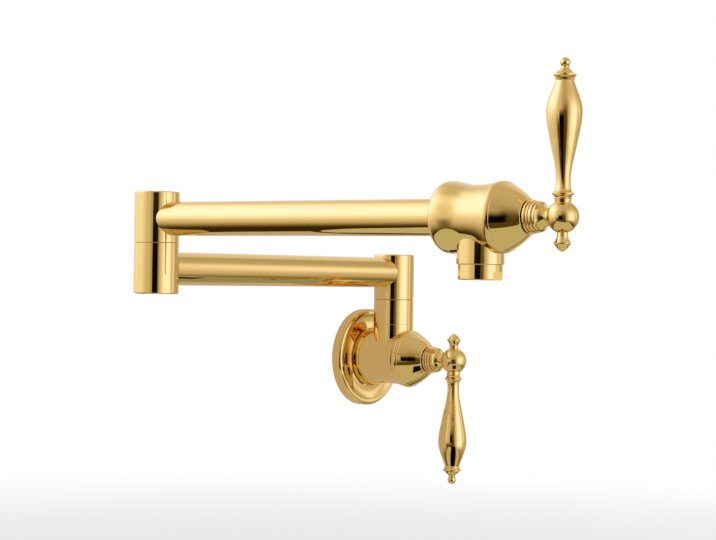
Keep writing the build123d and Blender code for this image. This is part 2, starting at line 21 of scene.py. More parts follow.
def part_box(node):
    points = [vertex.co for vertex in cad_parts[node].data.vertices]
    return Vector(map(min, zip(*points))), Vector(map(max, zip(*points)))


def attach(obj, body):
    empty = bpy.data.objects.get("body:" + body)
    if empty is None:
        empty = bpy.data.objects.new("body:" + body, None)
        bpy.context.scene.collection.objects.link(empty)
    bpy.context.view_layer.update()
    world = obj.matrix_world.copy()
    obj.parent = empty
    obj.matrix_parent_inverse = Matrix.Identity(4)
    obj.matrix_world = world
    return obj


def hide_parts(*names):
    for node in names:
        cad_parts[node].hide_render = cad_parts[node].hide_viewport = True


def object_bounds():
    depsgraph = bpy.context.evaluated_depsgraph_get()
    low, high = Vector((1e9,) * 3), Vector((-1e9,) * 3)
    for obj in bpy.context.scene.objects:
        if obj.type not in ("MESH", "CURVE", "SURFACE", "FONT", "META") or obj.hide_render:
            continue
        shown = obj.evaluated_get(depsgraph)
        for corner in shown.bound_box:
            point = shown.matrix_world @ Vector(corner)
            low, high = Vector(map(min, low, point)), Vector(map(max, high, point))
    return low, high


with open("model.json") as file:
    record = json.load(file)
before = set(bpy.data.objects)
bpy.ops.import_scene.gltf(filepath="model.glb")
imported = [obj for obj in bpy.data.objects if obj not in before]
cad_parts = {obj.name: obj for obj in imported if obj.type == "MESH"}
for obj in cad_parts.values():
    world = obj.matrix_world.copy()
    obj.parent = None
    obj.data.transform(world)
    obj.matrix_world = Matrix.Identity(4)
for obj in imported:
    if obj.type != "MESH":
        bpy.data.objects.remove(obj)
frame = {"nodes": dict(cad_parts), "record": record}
cad_low, cad_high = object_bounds()

# %% [markdown]
# ## Camera
#
# The photograph was taken with a long lens from the front left, at about the height of the lower
# arm. A camera is fully described by where it stands, where it looks, and its focal length. These
# values were found by fitting straight edges of the tap, so shape and perspective can be compared
# one to one. The lens is long, so the two arms hardly converge.

# %% Camera at the photograph's angle
MM = 0.001                      # the outlines below are in millimetres, Blender's space in metres
SENSOR_WIDTH = 36.0
lens_length = 108.1
view_heading = radians(51.19)   # the view's direction in plan, from +Y towards +X
view_tilt = radians(0.118)
view_roll = radians(0.92)
view_distance = 1.597
view_height = 0.0653
view_aside = 0.0391             # how far the camera stands to the left of the point it looks at
look_at = Vector((0, -0.045, 0))

forward = Vector((
    sin(view_heading) * cos(view_tilt), cos(view_heading) * cos(view_tilt), sin(view_tilt)))
level_right = Vector((cos(view_heading), -sin(view_heading), 0))
level_up = level_right.cross(forward)
right = level_right * cos(view_roll) + level_up * sin(view_roll)
up = level_up * cos(view_roll) - level_right * sin(view_roll)
eye = look_at - forward * view_distance - level_right * view_aside + Vector((0, 0, view_height))

camera_data = bpy.data.cameras.new("photo_camera")
camera_data.sensor_width = SENSOR_WIDTH
camera_data.lens = lens_length
camera = bpy.data.objects.new("photo_camera", camera_data)
camera.matrix_world = Matrix.Translation(eye) @ Matrix((right, up, -forward)).transposed().to_4x4()
bpy.context.scene.collection.objects.link(camera)
bpy.context.scene.camera = camera
bpy.context.scene.view_settings.view_transform = "Standard"
print("camera at", tuple(round(c, 3) for c in eye))

# %% [markdown]
# ## Writing shaders as sums
#
# A node tree is easier to read as a formula than as a list of links. The small class below wraps a
# socket, so that `1 - mask * 0.5` adds the Math nodes it needs. Every other node comes from one
# helper: its settings are given first, and then the values or wires of its sockets.

# %% A socket that can be added and multiplied
class Wire:
    """An output socket that takes part in sums."""

    def __init__(self, tree, socket):
        self.tree, self.socket = tree, socket

    def math(self, operation, *others):
        values = dict(enumerate((self, *others)))
        return add_node(self.tree, "Math", {"operation": operation}, values)

    def __add__(self, other):
        return self.math("ADD", other)

    def __sub__(self, other):
        return self.math("SUBTRACT", other)

    def __rsub__(self, other):
        return add_node(self.tree, "Math", {"operation": "SUBTRACT"}, {0: other, 1: self})

    def __mul__(self, other):
        return self.math("MULTIPLY", other)

    def __truediv__(self, other):
        return self.math("DIVIDE", other)

    __radd__ = __add__
    __rmul__ = __mul__


def add_node(tree, kind, settings=None, values=None, output=0):
    """Any shader node. Gives back one of its outputs as a Wire."""
    node = tree.nodes.new("ShaderNode" + kind)
    for name, value in (settings or {}).items():
        if name == "stops":
            lay_stops(node.color_ramp, value)
        else:
            setattr(node, name, value)
    for name, value in (values or {}).items():
        if isinstance(value, Wire):
            tree.links.new(value.socket, node.inputs[name])
        else:
            node.inputs[name].default_value = value
    return Wire(tree, node.outputs[output]) if node.outputs else node


def lay_stops(ramp, stops):
    """Colour stops of a ramp, as (place, colour) pairs in rising order."""
    while len(ramp.elements) < len(stops):
        ramp.elements.new(1.0)
    for element, (place, colour) in zip(ramp.elements, stops):
        element.position = place
        element.color = (*colour, 1)


def rise(value, start, end):
    """0 before start, 1 after end, and an easy S between them."""
    settings = {"interpolation_type": "SMOOTHSTEP"}
    values = {"Value": value, "From Min": start, "From Max": end}
    return add_node(value.tree, "MapRange", settings, values)


def window(value, low, high, low_edge, high_edge):
    """1 between low and high, with soft edges of the given widths centred on them."""
    opening = rise(value, low - low_edge / 2, low + low_edge / 2)
    return opening * (1 - rise(value, high - high_edge / 2, high + high_edge / 2))


MIX_FIRST, MIX_SECOND, MIX_COLOUR = 6, 7, 2     # the Mix node's sockets for colours


def mix_colour(factor, first, second):
    values = {"Factor": factor, MIX_FIRST: first, MIX_SECOND: second}
    return add_node(factor.tree, "Mix", {"data_type": "RGBA"}, values, output=MIX_COLOUR)


def along(vector, axis):
    """How far a vector reaches along an axis."""
    settings = {"operation": "DOT_PRODUCT"}
    return add_node(vector.tree, "VectorMath", settings, {0: vector, 1: tuple(axis)}, "Value")


def new_material(name):
    """A material with nothing in it yet, and its node tree."""
    material = bpy.data.materials.new(name)
    material.use_nodes = True
    material.node_tree.nodes.clear()
    return material, material.node_tree


print("shader helpers ready")

# %% [markdown]
# ## The room that the gold reflects
#
# Polished metal has no colour of its own to show: it tints what it mirrors. In the photograph the
# bright bands are two soft boxes, one each side of the camera, with a dimmer glow along their inner
# edges and a brown gap between them where the camera stands. The floor below is nearly black, and
# behind the tap is white paper. The black stripes and the olive patches come from things that
# stand nearer, which a later cell builds as painted reflections: glowing sheets that only the metal
# sees.
#
# So the world is drawn as that room, for glossy rays only, by azimuth round the object and by
# elevation. The camera and transparent rays get the plain white of the paper at strength 1, and the
# diffuse light that falls on matt surfaces is a plain even level.

# %% Studio panels, by azimuth from the camera and elevation
WHITE = (1.0, 1.0, 1.0, 1.0)
PLAIN_LEVEL = (0.8, 0.8, 0.8, 1.0)

# each span of a panel: from, to, and how soft these two edges are, in degrees. A later panel
# hangs in front of an earlier one.
panels = {
    "left_glow": {"azimuth": (-148, -27, 30, 14), "elevation": (-60, 62, 30, 30), "light": 0.7},
    "left_softbox": {"azimuth": (-143, -62, 48, 44), "elevation": (1, 57, 38, 35), "light": 1.52},
    "right_glow": {"azimuth": (20, 110, 12, 33), "elevation": (-50, 52, 20, 30), "light": 0.68},
    "right_softbox": {"azimuth": (36, 83, 28, 24), "elevation": (-25, 29, 28, 35), "light": 1.42},
    "far_softbox": {"azimuth": (98, 108, 12, 12), "elevation": (-3, 22, 18, 22), "light": 1.2},
    "dark_floor": {"azimuth": (-200, 200, 1, 1), "elevation": (-100, -28, 5, 32), "light": 0.03},
    "brown_front": {"azimuth": (-12, 14, 12, 16), "elevation": (-90, 21, 5, 46), "light": 0.1},
    "brown_low": {"azimuth": (-57, 15, 20, 12), "elevation": (-90, -8, 5, 22), "light": 0.07},
}
wall_light, ceiling_light, paper_light = 0.48, 0.6, 0.83
ceiling_starts, ceiling_whole = 28, 77          # in degrees of elevation
paper_starts, paper_whole = 136, 149            # in degrees of azimuth, to either side

# how the light of a panel is tinted: dim parts are warm and bright ones are daylight
LIGHT_SCALE = 1.8
light_tints = [
    (0.0, (0.0, 0.0, 0.0)),
    (0.06, (0.083, 0.056, 0.014)),
    (0.17, (0.208, 0.168, 0.08)),
    (0.32, (0.366, 0.325, 0.205)),
    (0.56, (0.606, 0.561, 0.45)),
    (0.81, (0.848, 0.815, 0.746)),
    (0.98, (0.99, 0.98, 0.934)),
    (1.15, (1.1, 1.15, 1.165)),
    (1.31, (1.2, 1.31, 1.51)),
    (1.57, (1.3, 1.57, 2.32)),
]
print("panels:", ", ".join(panels))

# %% World: studio for glossy rays, white for the camera, a plain level for the rest
world = bpy.data.worlds.new("studio")
world.use_nodes = True
world.cycles.sampling_method = "NONE"
bpy.context.scene.world = world
room = world.node_tree
room.nodes.clear()

toward_camera = Vector((-sin(view_heading), -cos(view_heading), 0))
direction = add_node(room, "TexCoord")
degrees = 180 / pi
azimuth = along(direction, level_right).math("ARCTAN2", along(direction, toward_camera)) * degrees
elevation = along(direction, (0, 0, 1)).math("ARCSINE") * degrees


def blend_in(light, mask, value):
    """The value where the mask is 1, and the light that was there where it is 0."""
    return light * (1 - mask) + mask * value


def hang(light, panel):
    """Hangs a panel in front of what is there."""
    mask = window(azimuth, *panel["azimuth"]) * window(elevation, *panel["elevation"])
    return blend_in(light, mask, panel["light"])


overhead = rise(elevation, ceiling_starts, ceiling_whole)
light = overhead * (ceiling_light - wall_light) + wall_light
behind = rise(azimuth.math("ABSOLUTE"), paper_starts, paper_whole) * (1 - overhead)
light = blend_in(light, behind, paper_light)
for panel in panels.values():
    light = hang(light, panel)
stops = [(level / LIGHT_SCALE, tint) for level, tint in light_tints]
studio_colour = add_node(room, "ValToRGB", {"stops": stops}, {"Fac": light / LIGHT_SCALE})

is_camera = add_node(room, "LightPath", output="Is Camera Ray")
is_glossy = add_node(room, "LightPath", output="Is Glossy Ray")
is_through = add_node(room, "LightPath", output="Is Transmission Ray")
seen = mix_colour(is_glossy, PLAIN_LEVEL, studio_colour)
seen = mix_colour(is_camera.math("MAXIMUM", is_through), seen, WHITE)
background = add_node(room, "Background", values={"Color": seen, "Strength": 1.0})
add_node(room, "OutputWorld", values={"Surface": background})
print("world:", len(room.nodes), "nodes")

# %% [markdown]
# ## Floor
#
# The tap hangs on its wall, so the floor is only there to catch a soft shadow. It is a pale disc a
# little below the lower lever, and it fades into the white paper before its rim, because a floor
# that ends at the horizon draws a line across the picture. The metal doesn't mirror the disc: when
# it looks down it sees the dark floor of the world, and the olive sheet of the next cells, a
# painted reflection of a table.

# %% Pale floor that fades into the paper
# lengths in metres
FLOOR_DROP = 0.11               # under the lowest point of the tap
FLOOR_RADIUS, FLOOR_CORNERS = 3.0, 96
FLOOR_COLOUR = (0.9, 0.9, 0.89, 1.0)
fade_starts, fade_ends = 0.35, 1.3
LAMP_SIZE, LAMP_POWER = 0.9, 4.0
LAMP_FORWARD, LAMP_RISE = 0.3, 1.0              # from the middle of the tap, and from its top


def leave_nothing_selected():
    if bpy.context.mode != "OBJECT":
        bpy.ops.object.mode_set(mode="OBJECT")
    bpy.ops.object.select_all(action="DESELECT")


leave_nothing_selected()
bpy.ops.mesh.primitive_circle_add(
    vertices=FLOOR_CORNERS, radius=FLOOR_RADIUS, fill_type="NGON",
    location=(0, 0, cad_low.z - FLOOR_DROP))
floor = bpy.context.object
floor.name = "floor"
floor.visible_glossy = False

paper, paper_nodes = new_material("pale_paper")
spot = add_node(paper_nodes, "TexCoord", output="Object")
distance = add_node(paper_nodes, "VectorMath", {"operation": "LENGTH"}, {0: spot}, "Value")
matt = add_node(paper_nodes, "BsdfDiffuse", values={"Color": FLOOR_COLOUR})
white = add_node(paper_nodes, "Emission", values={"Color": WHITE, "Strength": 1.0})
seen_directly = add_node(paper_nodes, "LightPath", output="Is Camera Ray")
fade = rise(distance, fade_starts, fade_ends) * seen_directly
shown = add_node(paper_nodes, "MixShader", values={0: fade, 1: matt, 2: white})
add_node(paper_nodes, "OutputMaterial", values={"Surface": shown})
floor.data.materials.append(paper)

lamp_data = bpy.data.lights.new("overhead", "AREA")
lamp_data.size = LAMP_SIZE
lamp_data.energy = LAMP_POWER
lamp = bpy.data.objects.new("overhead", lamp_data)
tap_middle = (cad_low + cad_high) / 2
lamp.location = (tap_middle.x, tap_middle.y - LAMP_FORWARD, cad_high.z + LAMP_RISE)
lamp.visible_glossy = False
bpy.context.scene.collection.objects.link(lamp)
print("floor at z =", round(cad_low.z - FLOOR_DROP, 3))

# %% [markdown]
# ## Painted reflections: curtain, table, board and flag
#
# Some things stand so near the tap that each piece sees them in another direction. Here they are
# painted reflections: glowing sheets that only the metal sees, which light nothing and cast no
# shadow. A black sheet for a curtain hangs beside the camera, so its painted dark stripe lies in
# the middle of the far elbow, and further left on the pieces to the right. An olive sheet for a
# table ends a good arm's length away, so the valve bodies mirror much of its olive top and the long
# tubes a strip of its dimmer far side or none. Everything near the wall mirrors an even warm grey
# on its left where the far elbow mirrors the soft box: a grey sheet stands for a small board that
# the tap was screwed to. And a black sheet for a flag, the small black card of a photo studio, lies
# just under the wall lever, and paints the dark stripe on down its round belly where the table
# would show. The picture's background is white paper all the same, so these sheets are for
# reflections only.

# %% Where the painted reflection sheets are, and their colours
# in millimetres from the point the camera looks at: outlines seen from above are pairs of how far
# to the right and how far towards the camera
# painted reflection: a black sheet for a curtain, seen only in the metal, paints the dark stripe on
# the pieces
dark_stripe_sheet = {"left": -400, "right": 45, "low": -150, "high": 360, "nearer": 1015}
dark_stripe_fade_right, dark_stripe_fade_top = 90, 300
# painted reflection: olive sheets for a table, seen only in the metal, paint the olive patches on
# the bodies and a dimmer strip on the tubes
olive_sheet_height = -670
olive_sheet_outline = [(-950, 1330), (900, 1330), (900, -1060), (190, -580), (-400, -330), (-670, 60)]
dim_olive_outline = [(60, -250), (900, -250), (900, -1060), (190, -580), (60, -510)]
dim_olive_lift = 1               # the dimmer part lies on the table's top
# painted reflection: a black sheet for a studio flag, seen only in the metal, paints a dark stripe
# down the wall lever's belly
lever_dark_height = -115
lever_flag = [(12, 58), (64, 58), (90, 170), (2, 170)]

# the grey sheet, a painted reflection of a board, is given along the wall itself, and lies just
# behind the wall's face
grey_sheet = {"left": -235, "right": 250, "low": -110, "high": 75, "behind": 1}

# colours of the glowing sheets, which paint reflections
BLACK = (0.005, 0.003, 0.001, 1.0)
OLIVE = (0.6, 0.62, 0.46, 1.0)
DIM_OLIVE = (0.36, 0.37, 0.27, 1.0)
WARM_GREY = (0.6, 0.53, 0.45, 1.0)
print("sheets: curtain, table in two parts, flag and board")


# %% Glowing sheets that only reflections see, which paint reflections
def seen_from_camera(across, nearer, height):
    """A place by its distance to the right, towards the camera and up."""
    return look_at / MM + level_right * across + toward_camera * nearer + Vector((0, 0, height))


# a painted reflection: a glowing sheet that only the metal sees
def painted_reflection_sheet(name, corners, colour, fade_right=0, fade_top=0):
    """A glowing sheet, by its corners in order. The third is high and right where sides fade."""
    leave_nothing_selected()
    bpy.ops.mesh.primitive_circle_add(vertices=len(corners), fill_type="NGON")
    sheet = bpy.context.object
    sheet.name = name
    for vertex, corner in zip(sheet.data.vertices, corners):
        vertex.co = Vector(corner) * MM
    for ray in ("camera", "diffuse", "transmission", "volume_scatter", "shadow"):
        setattr(sheet, "visible_" + ray, False)
    material, tree = new_material(name)
    surface = add_node(tree, "Emission", values={"Color": colour, "Strength": 1.0})
    if fade_right and fade_top:
        spot = add_node(tree, "TexCoord", output="Object")
        cover = 1
        for axis, fade in ((level_right, fade_right), (Vector((0, 0, 1)), fade_top)):
            end = axis.dot(Vector(corners[2])) * MM
            cover = (1 - rise(along(spot, axis), end - fade * MM, end)) * cover
        clear = add_node(tree, "BsdfTransparent")
        surface = add_node(tree, "MixShader", values={0: cover, 1: clear, 2: surface})
    add_node(tree, "OutputMaterial", values={"Surface": surface})
    sheet.data.materials.append(material)
    print(name + ":", [tuple(round(value) for value in corner) for corner in corners])


def lying(outline, height):
    """The corners of a level sheet."""
    return [seen_from_camera(across, nearer, height) for across, nearer in outline]


sides = ("left", "low"), ("right", "low"), ("right", "high"), ("left", "high")
grey_sheet_corners = [(grey_sheet[side], grey_sheet["behind"], grey_sheet[level]) for side, level in sides]
dark_stripe_corners = [
    seen_from_camera(dark_stripe_sheet[side], dark_stripe_sheet["nearer"], dark_stripe_sheet[level]) for side, level in sides]
painted_reflection_sheet("mounting_board", grey_sheet_corners, WARM_GREY)
painted_reflection_sheet("table_top", lying(olive_sheet_outline, olive_sheet_height), OLIVE)
painted_reflection_sheet("table_far_side", lying(dim_olive_outline, olive_sheet_height + dim_olive_lift), DIM_OLIVE)
painted_reflection_sheet("lever_flag", lying(lever_flag, lever_dark_height), BLACK)
painted_reflection_sheet("black_curtain", dark_stripe_corners, BLACK, dark_stripe_fade_right, dark_stripe_fade_top)

# %% [markdown]
# ## Finishes
#
# The tap is brass with a gold-coloured coating laid on in a vacuum, which is hard and keeps the
# polish of the brass under it. A perfect mirror looks false, though. Polishing by hand leaves the
# surface very slightly wavy, and handling leaves faint cloudy patches, so the roughness and the
# normal both vary a little, at the scale of a fingertip, and the colour by a few percent.

# %% Helpers for a finish
def surface_noise(tree, size, detail=3.0):
    """Soft noise with patches of the given size in millimetres, centred on 0.5."""
    spot = add_node(tree, "TexCoord", output="Object")
    values = {"Vector": spot, "Scale": 1 / (size * MM), "Detail": detail, "Roughness": 0.55}
    return add_node(tree, "TexNoise", values=values, output="Fac")


def finish_surface(tree, colour, roughness, metallic, height, depth):
    """Principled surface with a bump of the given depth. Only what varies is wired."""
    bump = add_node(tree, "Bump", values={"Height": height, "Distance": depth * MM})
    values = {"Base Color": colour, "Roughness": roughness, "Metallic": metallic, "Normal": bump}
    shader = add_node(tree, "BsdfPrincipled", values=values)
    add_node(tree, "OutputMaterial", values={"Surface": shader})


print("finish helpers ready")

# %% Polished gold
GOLD_DEEP, GOLD_BRIGHT = (0.86, 0.595, 0.232, 1), (0.88, 0.625, 0.255, 1)
GOLD_ROUGHNESS = 0.018          # where it is clean; a smudge has twice as much
TONE_PATCH, SMUDGE_PATCH, WAVE_LENGTH, WAVE_DEPTH = 45.0, 11.0, 16.0, 0.02


def polished_gold():
    """Nearly a mirror, a little wavy and a little smudged."""
    material, tree = new_material("polished_gold")
    colour = mix_colour(surface_noise(tree, TONE_PATCH, 2.0), GOLD_DEEP, GOLD_BRIGHT)
    smudge = rise(surface_noise(tree, SMUDGE_PATCH, 5.0), 0.38, 0.68)
    roughness = smudge * GOLD_ROUGHNESS + GOLD_ROUGHNESS
    finish_surface(tree, colour, roughness, 1.0, surface_noise(tree, WAVE_LENGTH, 2.0), WAVE_DEPTH)
    return material


finishes = {"polished_gold": polished_gold()}
print("polished gold, roughness from", GOLD_ROUGHNESS)


# %% Bare metals, ceramic, rubber and plastic
def machined_metal(name, dark, pale, patch, marks, grain, depth):
    """Bare turned metal: soft patches, tool marks and a fine grain."""
    material, tree = new_material(name)
    colour = mix_colour(surface_noise(tree, patch), dark, pale)
    roughness = surface_noise(tree, marks, 4.0) * 0.2 + 0.2
    finish_surface(tree, colour, roughness, 1.0, surface_noise(tree, grain), depth)
    return material


def plain_material(name, dark, pale, patch, roughness, grain, depth):
    """A moulded, lapped or rubbery finish with soft variation of colour and a fine grain."""
    material, tree = new_material(name)
    colour = mix_colour(surface_noise(tree, patch), dark, pale)
    varied = surface_noise(tree, patch / 2) * 0.15 + roughness
    finish_surface(tree, colour, varied, 0.0, surface_noise(tree, grain, 2.0), depth)
    return material


finishes["raw_brass"] = machined_metal(
    "machined_brass", (0.66, 0.47, 0.2, 1), (0.74, 0.56, 0.27, 1),
    patch=6.0, marks=1.2, grain=0.5, depth=0.01)
finishes["stainless_steel"] = machined_metal(
    "stainless_steel", (0.52, 0.52, 0.51, 1), (0.64, 0.64, 0.63, 1),
    patch=2.0, marks=0.8, grain=0.4, depth=0.008)
finishes["lapped_ceramic"] = plain_material(
    "lapped_ceramic", (0.82, 0.81, 0.77, 1), (0.9, 0.89, 0.86, 1),
    patch=4.0, roughness=0.12, grain=0.3, depth=0.004)
finishes["seal_rubber"] = plain_material(
    "seal_rubber", (0.02, 0.02, 0.021, 1), (0.04, 0.04, 0.041, 1),
    patch=3.0, roughness=0.5, grain=0.25, depth=0.02)
finishes["slip_ring_plastic"] = plain_material(
    "slip_ring_plastic", (0.78, 0.78, 0.75, 1), (0.88, 0.88, 0.86, 1),
    patch=5.0, roughness=0.38, grain=0.4, depth=0.01)
finishes["insert_plastic"] = plain_material(
    "insert_plastic", (0.42, 0.43, 0.45, 1), (0.52, 0.53, 0.55, 1),
    patch=5.0, roughness=0.3, grain=0.4, depth=0.01)
print("finishes:", ", ".join(finishes))

# %% Each node gets the finish of its real material
slot_of = {part["node"]: part["material_slot"] for part in frame["record"]["subparts"]}
bodies = frame["record"]["behaviour"]["bodies"]
body_of = {node: body for body, nodes in bodies.items() for node in nodes}
for node, shape in frame["nodes"].items():
    shape.data.materials.clear()
    shape.data.materials.append(finishes[slot_of[node]])
print("nodes with a finish:", len(slot_of))

# %% [markdown]
# ## Turning a piece
#
# On a lathe a bar spins and a tool follows an outline. Blender's Spin operator does the same: half
# a section is drawn beside the axis and swept round it. The outline is drawn as a machinist would
# dimension it, with straight cuts, arcs that leave the last cut in a given direction, and smooth
# runs between two directions. Each step of it is one Extrude of a single point.
#
# Reflections show the slightest facet, so arcs have many points and the sweep many steps. Every
# corner that a tool leaves gets a tiny bevel, which catches a line of light as real edges do.

# %% An outline: half the section of a turned piece
ARC_STEPS = 14
RUN_STEPS = 30


class Outline:
    """Points of (radius, height) in millimetres, drawn in order beside the axis."""

    def __init__(self, *corners):
        self.points = [Vector(corner) for corner in corners]

    def line(self, *corners):
        self.points += [Vector(corner) for corner in corners]
        return self

    def arc(self, end, leaving, steps=ARC_STEPS):
        """Part of a circle, from the last point in the direction leaving, to end."""
        start, end, leaving = self.points[-1], Vector(end), Vector(leaving).normalized()
        chord, side = end - start, Vector((-leaving.y, leaving.x))
        centre = start + side * chord.length_squared / (2 * chord.dot(side))
        sweep = 2 * atan2(chord.dot(side), chord.dot(leaving))
        for step in range(1, steps + 1):
            self.points.append(centre + Matrix.Rotation(sweep * step / steps, 2) @ (start - centre))
        return self

    def through(self, middle, end, steps=ARC_STEPS):
        """Part of a circle, from the last point through middle to end."""
        start, middle, end = self.points[-1], Vector(middle), Vector(end)
        bend = (end - start).angle_signed(end - middle)
        return self.arc(end, Matrix.Rotation(bend, 2) @ (middle - start), steps)

    def run(self, end, leaving, arriving):
        """Smooth run from the last point to end, with a direction at each."""
        start, end = self.points[-1], Vector(end)
        reach = (end - start).length
        leaving = Vector(leaving).normalized() * reach
        arriving = Vector(arriving).normalized() * reach
        for step in range(1, RUN_STEPS + 1):
            t = step / RUN_STEPS
            ending = t * t * (3 - 2 * t)
            bends = leaving * (t * (1 - t) ** 2) - arriving * (t * t * (1 - t))
            self.points.append(start * (1 - ending) + end * ending + bends)
        return self


def closed(*corners):
    """Outline of a hollow piece, which ends where it starts."""
    return Outline(*corners, corners[0])


print("points on an arc:", ARC_STEPS, "and on a smooth run:", RUN_STEPS)

# %% Draw, spin, bevel
TURN_STEPS = 224
EDGE_BREAK, FINE_EDGE = 0.14, 0.05      # bevel on turned corners and on a handle's, in millimetres
EDGE_SEGMENTS = 3
SMOOTH_ANGLE = radians(32)
DRAWN_TOGETHER, SPUN_TOGETHER = 1e-7, 2e-6      # points nearer than this are one, in metres


def draw(outline):
    """One point, extruded along the outline in the XZ plane."""
    leave_nothing_selected()
    first = outline.points[0]
    bpy.ops.mesh.primitive_plane_add(size=1 * MM, location=(first.x * MM, 0, first.y * MM))
    bpy.ops.object.mode_set(mode="EDIT")
    bpy.ops.mesh.merge(type="CENTER")
    for last, point in zip(outline.points, outline.points[1:]):
        step = (point - last) * MM
        if step.length > DRAWN_TOGETHER:
            bpy.ops.mesh.extrude_region_move(TRANSFORM_OT_translate={"value": (step.x, 0, step.y)})
    bpy.ops.mesh.select_all(action="SELECT")
    bpy.ops.mesh.remove_doubles(threshold=DRAWN_TOGETHER)
    bpy.ops.object.mode_set(mode="OBJECT")
    bpy.ops.object.transform_apply(location=True, rotation=False, scale=False)
    return bpy.context.object


def apply_modifier(piece, kind, **settings):
    bpy.context.view_layer.objects.active = piece
    modifier = piece.modifiers.new(kind.lower(), kind)
    for name, value in settings.items():
        setattr(modifier, name, value)
    bpy.ops.object.modifier_apply(modifier=modifier.name)


def turn(outline, edge=EDGE_BREAK):
    """The outline spun round Z, closed at its poles and seam, with its corners broken."""
    piece = draw(outline)
    bpy.ops.object.mode_set(mode="EDIT")
    bpy.ops.mesh.select_all(action="SELECT")
    bpy.ops.mesh.spin(steps=TURN_STEPS, angle=2 * pi, center=(0, 0, 0), axis=(0, 0, 1))
    bpy.ops.mesh.select_all(action="SELECT")
    bpy.ops.mesh.remove_doubles(threshold=SPUN_TOGETHER)
    bpy.ops.mesh.normals_make_consistent(inside=False)
    bpy.ops.object.mode_set(mode="OBJECT")
    if edge:
        apply_modifier(piece, "BEVEL", width=edge * MM, segments=EDGE_SEGMENTS,
                       limit_method="ANGLE", angle_limit=SMOOTH_ANGLE)
    return piece


print("steps round the axis:", TURN_STEPS)


# %% Place, combine, finish
def put(piece, place):
    """Moves a piece's mesh, and leaves its object at the origin."""
    leave_nothing_selected()
    piece.select_set(True)
    bpy.context.view_layer.objects.active = piece
    piece.matrix_world = place
    bpy.ops.object.transform_apply(location=True, rotation=True, scale=True)
    return piece


def at(x, y, z):
    return Matrix.Translation(Vector((x, y, z)) * MM)


def turned_by(angle, axis):
    return Matrix.Rotation(radians(angle), 4, axis)


def combine(piece, operation, *tools):
    """Joins tools to a piece or cuts them out of it, and takes the tools away."""
    for tool in tools:
        apply_modifier(piece, "BOOLEAN", object=tool, operation=operation, solver="MANIFOLD")
        bpy.data.objects.remove(tool)
    return piece


def cylinder(diameter, low, high, edge=0):
    radius = diameter / 2
    return turn(Outline((0, low), (radius, low), (radius, high), (0, high)), edge)


def ring_outline(outer, inner, low, high):
    return closed((inner / 2, low), (outer / 2, low), (outer / 2, high), (inner / 2, high))


made = {}


def finish_piece(piece, node, place):
    """Shades a piece, puts it where its CAD node is and lets it stand for that node."""
    put(piece, place)
    bpy.ops.object.shade_smooth_by_angle(angle=SMOOTH_ANGLE)
    apply_modifier(piece, "WEIGHTED_NORMAL", keep_sharp=True)
    piece.name = piece.data.name = node + ".turned"
    piece.data.materials.clear()
    piece.data.materials.append(finishes[slot_of[node]])
    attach(piece, body_of[node])
    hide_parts(node)
    made[node] = piece
    print(f"{piece.name}: {len(piece.data.polygons)} faces")


print("pieces ride:", ", ".join(bodies))

# %% [markdown]
# ## Where things are
#
# The axes and the main sizes are read from the frame's own nodes, in millimetres, so the turned
# pieces land exactly on the nodes that they stand for.

# %% Axes and sizes from the frame
class Extent:
    """A CAD node's box in millimetres."""

    def __init__(self, node):
        low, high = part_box(node)
        self.low, self.high = low / MM, high / MM
        self.middle, self.size = (self.low + self.high) / 2, self.high - self.low


sleeve, head, lower_drum, upper_drum = (
    Extent(node) for node in ("riser_sleeve", "riser_head", "elbow_lower_half", "elbow_upper_half"))
lower_run, upper_run = Extent("lower_tube"), Extent("upper_tube")
outlet = Extent("aerator_housing")
riser_x, riser_y = sleeve.middle.x, sleeve.middle.y
elbow_x, elbow_y = upper_drum.middle.x, upper_drum.middle.y
outlet_x, outlet_y = outlet.middle.x, outlet.middle.y
drum_diameter = sleeve.size.x
tube_diameter = lower_run.size.z
lower_height, upper_height = lower_run.middle.z, upper_run.middle.z
wall_valve = at(riser_x, riser_y, 0) @ turned_by(90, "X")
spout_valve = at(outlet_x, outlet_y, upper_height) @ turned_by(90, "X")
print("drum", round(drum_diameter, 2), "tube", round(tube_diameter, 2))
print("arms at heights", round(lower_height, 1), "and", round(upper_height, 1))

# %% [markdown]
# ## Tubes
#
# Two straight tubes of thin wall. Their ends are plugged into sockets and never seen, but the wall
# is there all the same.

# %% Tubes
TUBE_WALL = 1.5
tube_bore = tube_diameter - 2 * TUBE_WALL


def tube(length):
    return turn(ring_outline(tube_diameter, tube_bore, 0, length))


finish_piece(tube(lower_run.size.x), "lower_tube",
             at(lower_run.low.x, riser_y, lower_height) @ turned_by(90, "Y"))
finish_piece(tube(upper_run.size.y), "upper_tube",
             at(elbow_x, upper_run.high.y, upper_height) @ turned_by(90, "X"))

# %% [markdown]
# ## Drums of the riser and the elbow
#
# Each swivel is a stack of equal drums with hairline seams between them. A drum has a rounded rim
# where it is free, a sharp one at the seam, a bore for the post it turns on, and a round socket in
# its side that the tube goes into. The line where tube meets drum is a clean saddle, because the
# socket is cut with a tool of the tube's own size.

# %% Drums
POST, POST_FLANGE, POST_FLANGE_HEIGHT, POST_THREAD = 13.1, 19.08, 2.5, 14.88
CHAMBER, WATERWAY, SOCKET_PLAY = 16.8, 13.0, 0.04
CAP_SEAT, CAP_HEIGHT = 18.48, 2.3
RIM_ROUND = 0.9
WASHER_OUTER, WASHER_INNER, WASHER_DROP = 27.28, 21.12, 0.9
CHAMBER_CLEAR = 2.8
SEAM = 0.3
PAST = 1                        # how far a cutter reaches past what it cuts
tube_end = riser_x - lower_run.high.x   # from a drum's axis, just past its socket's lowest rim


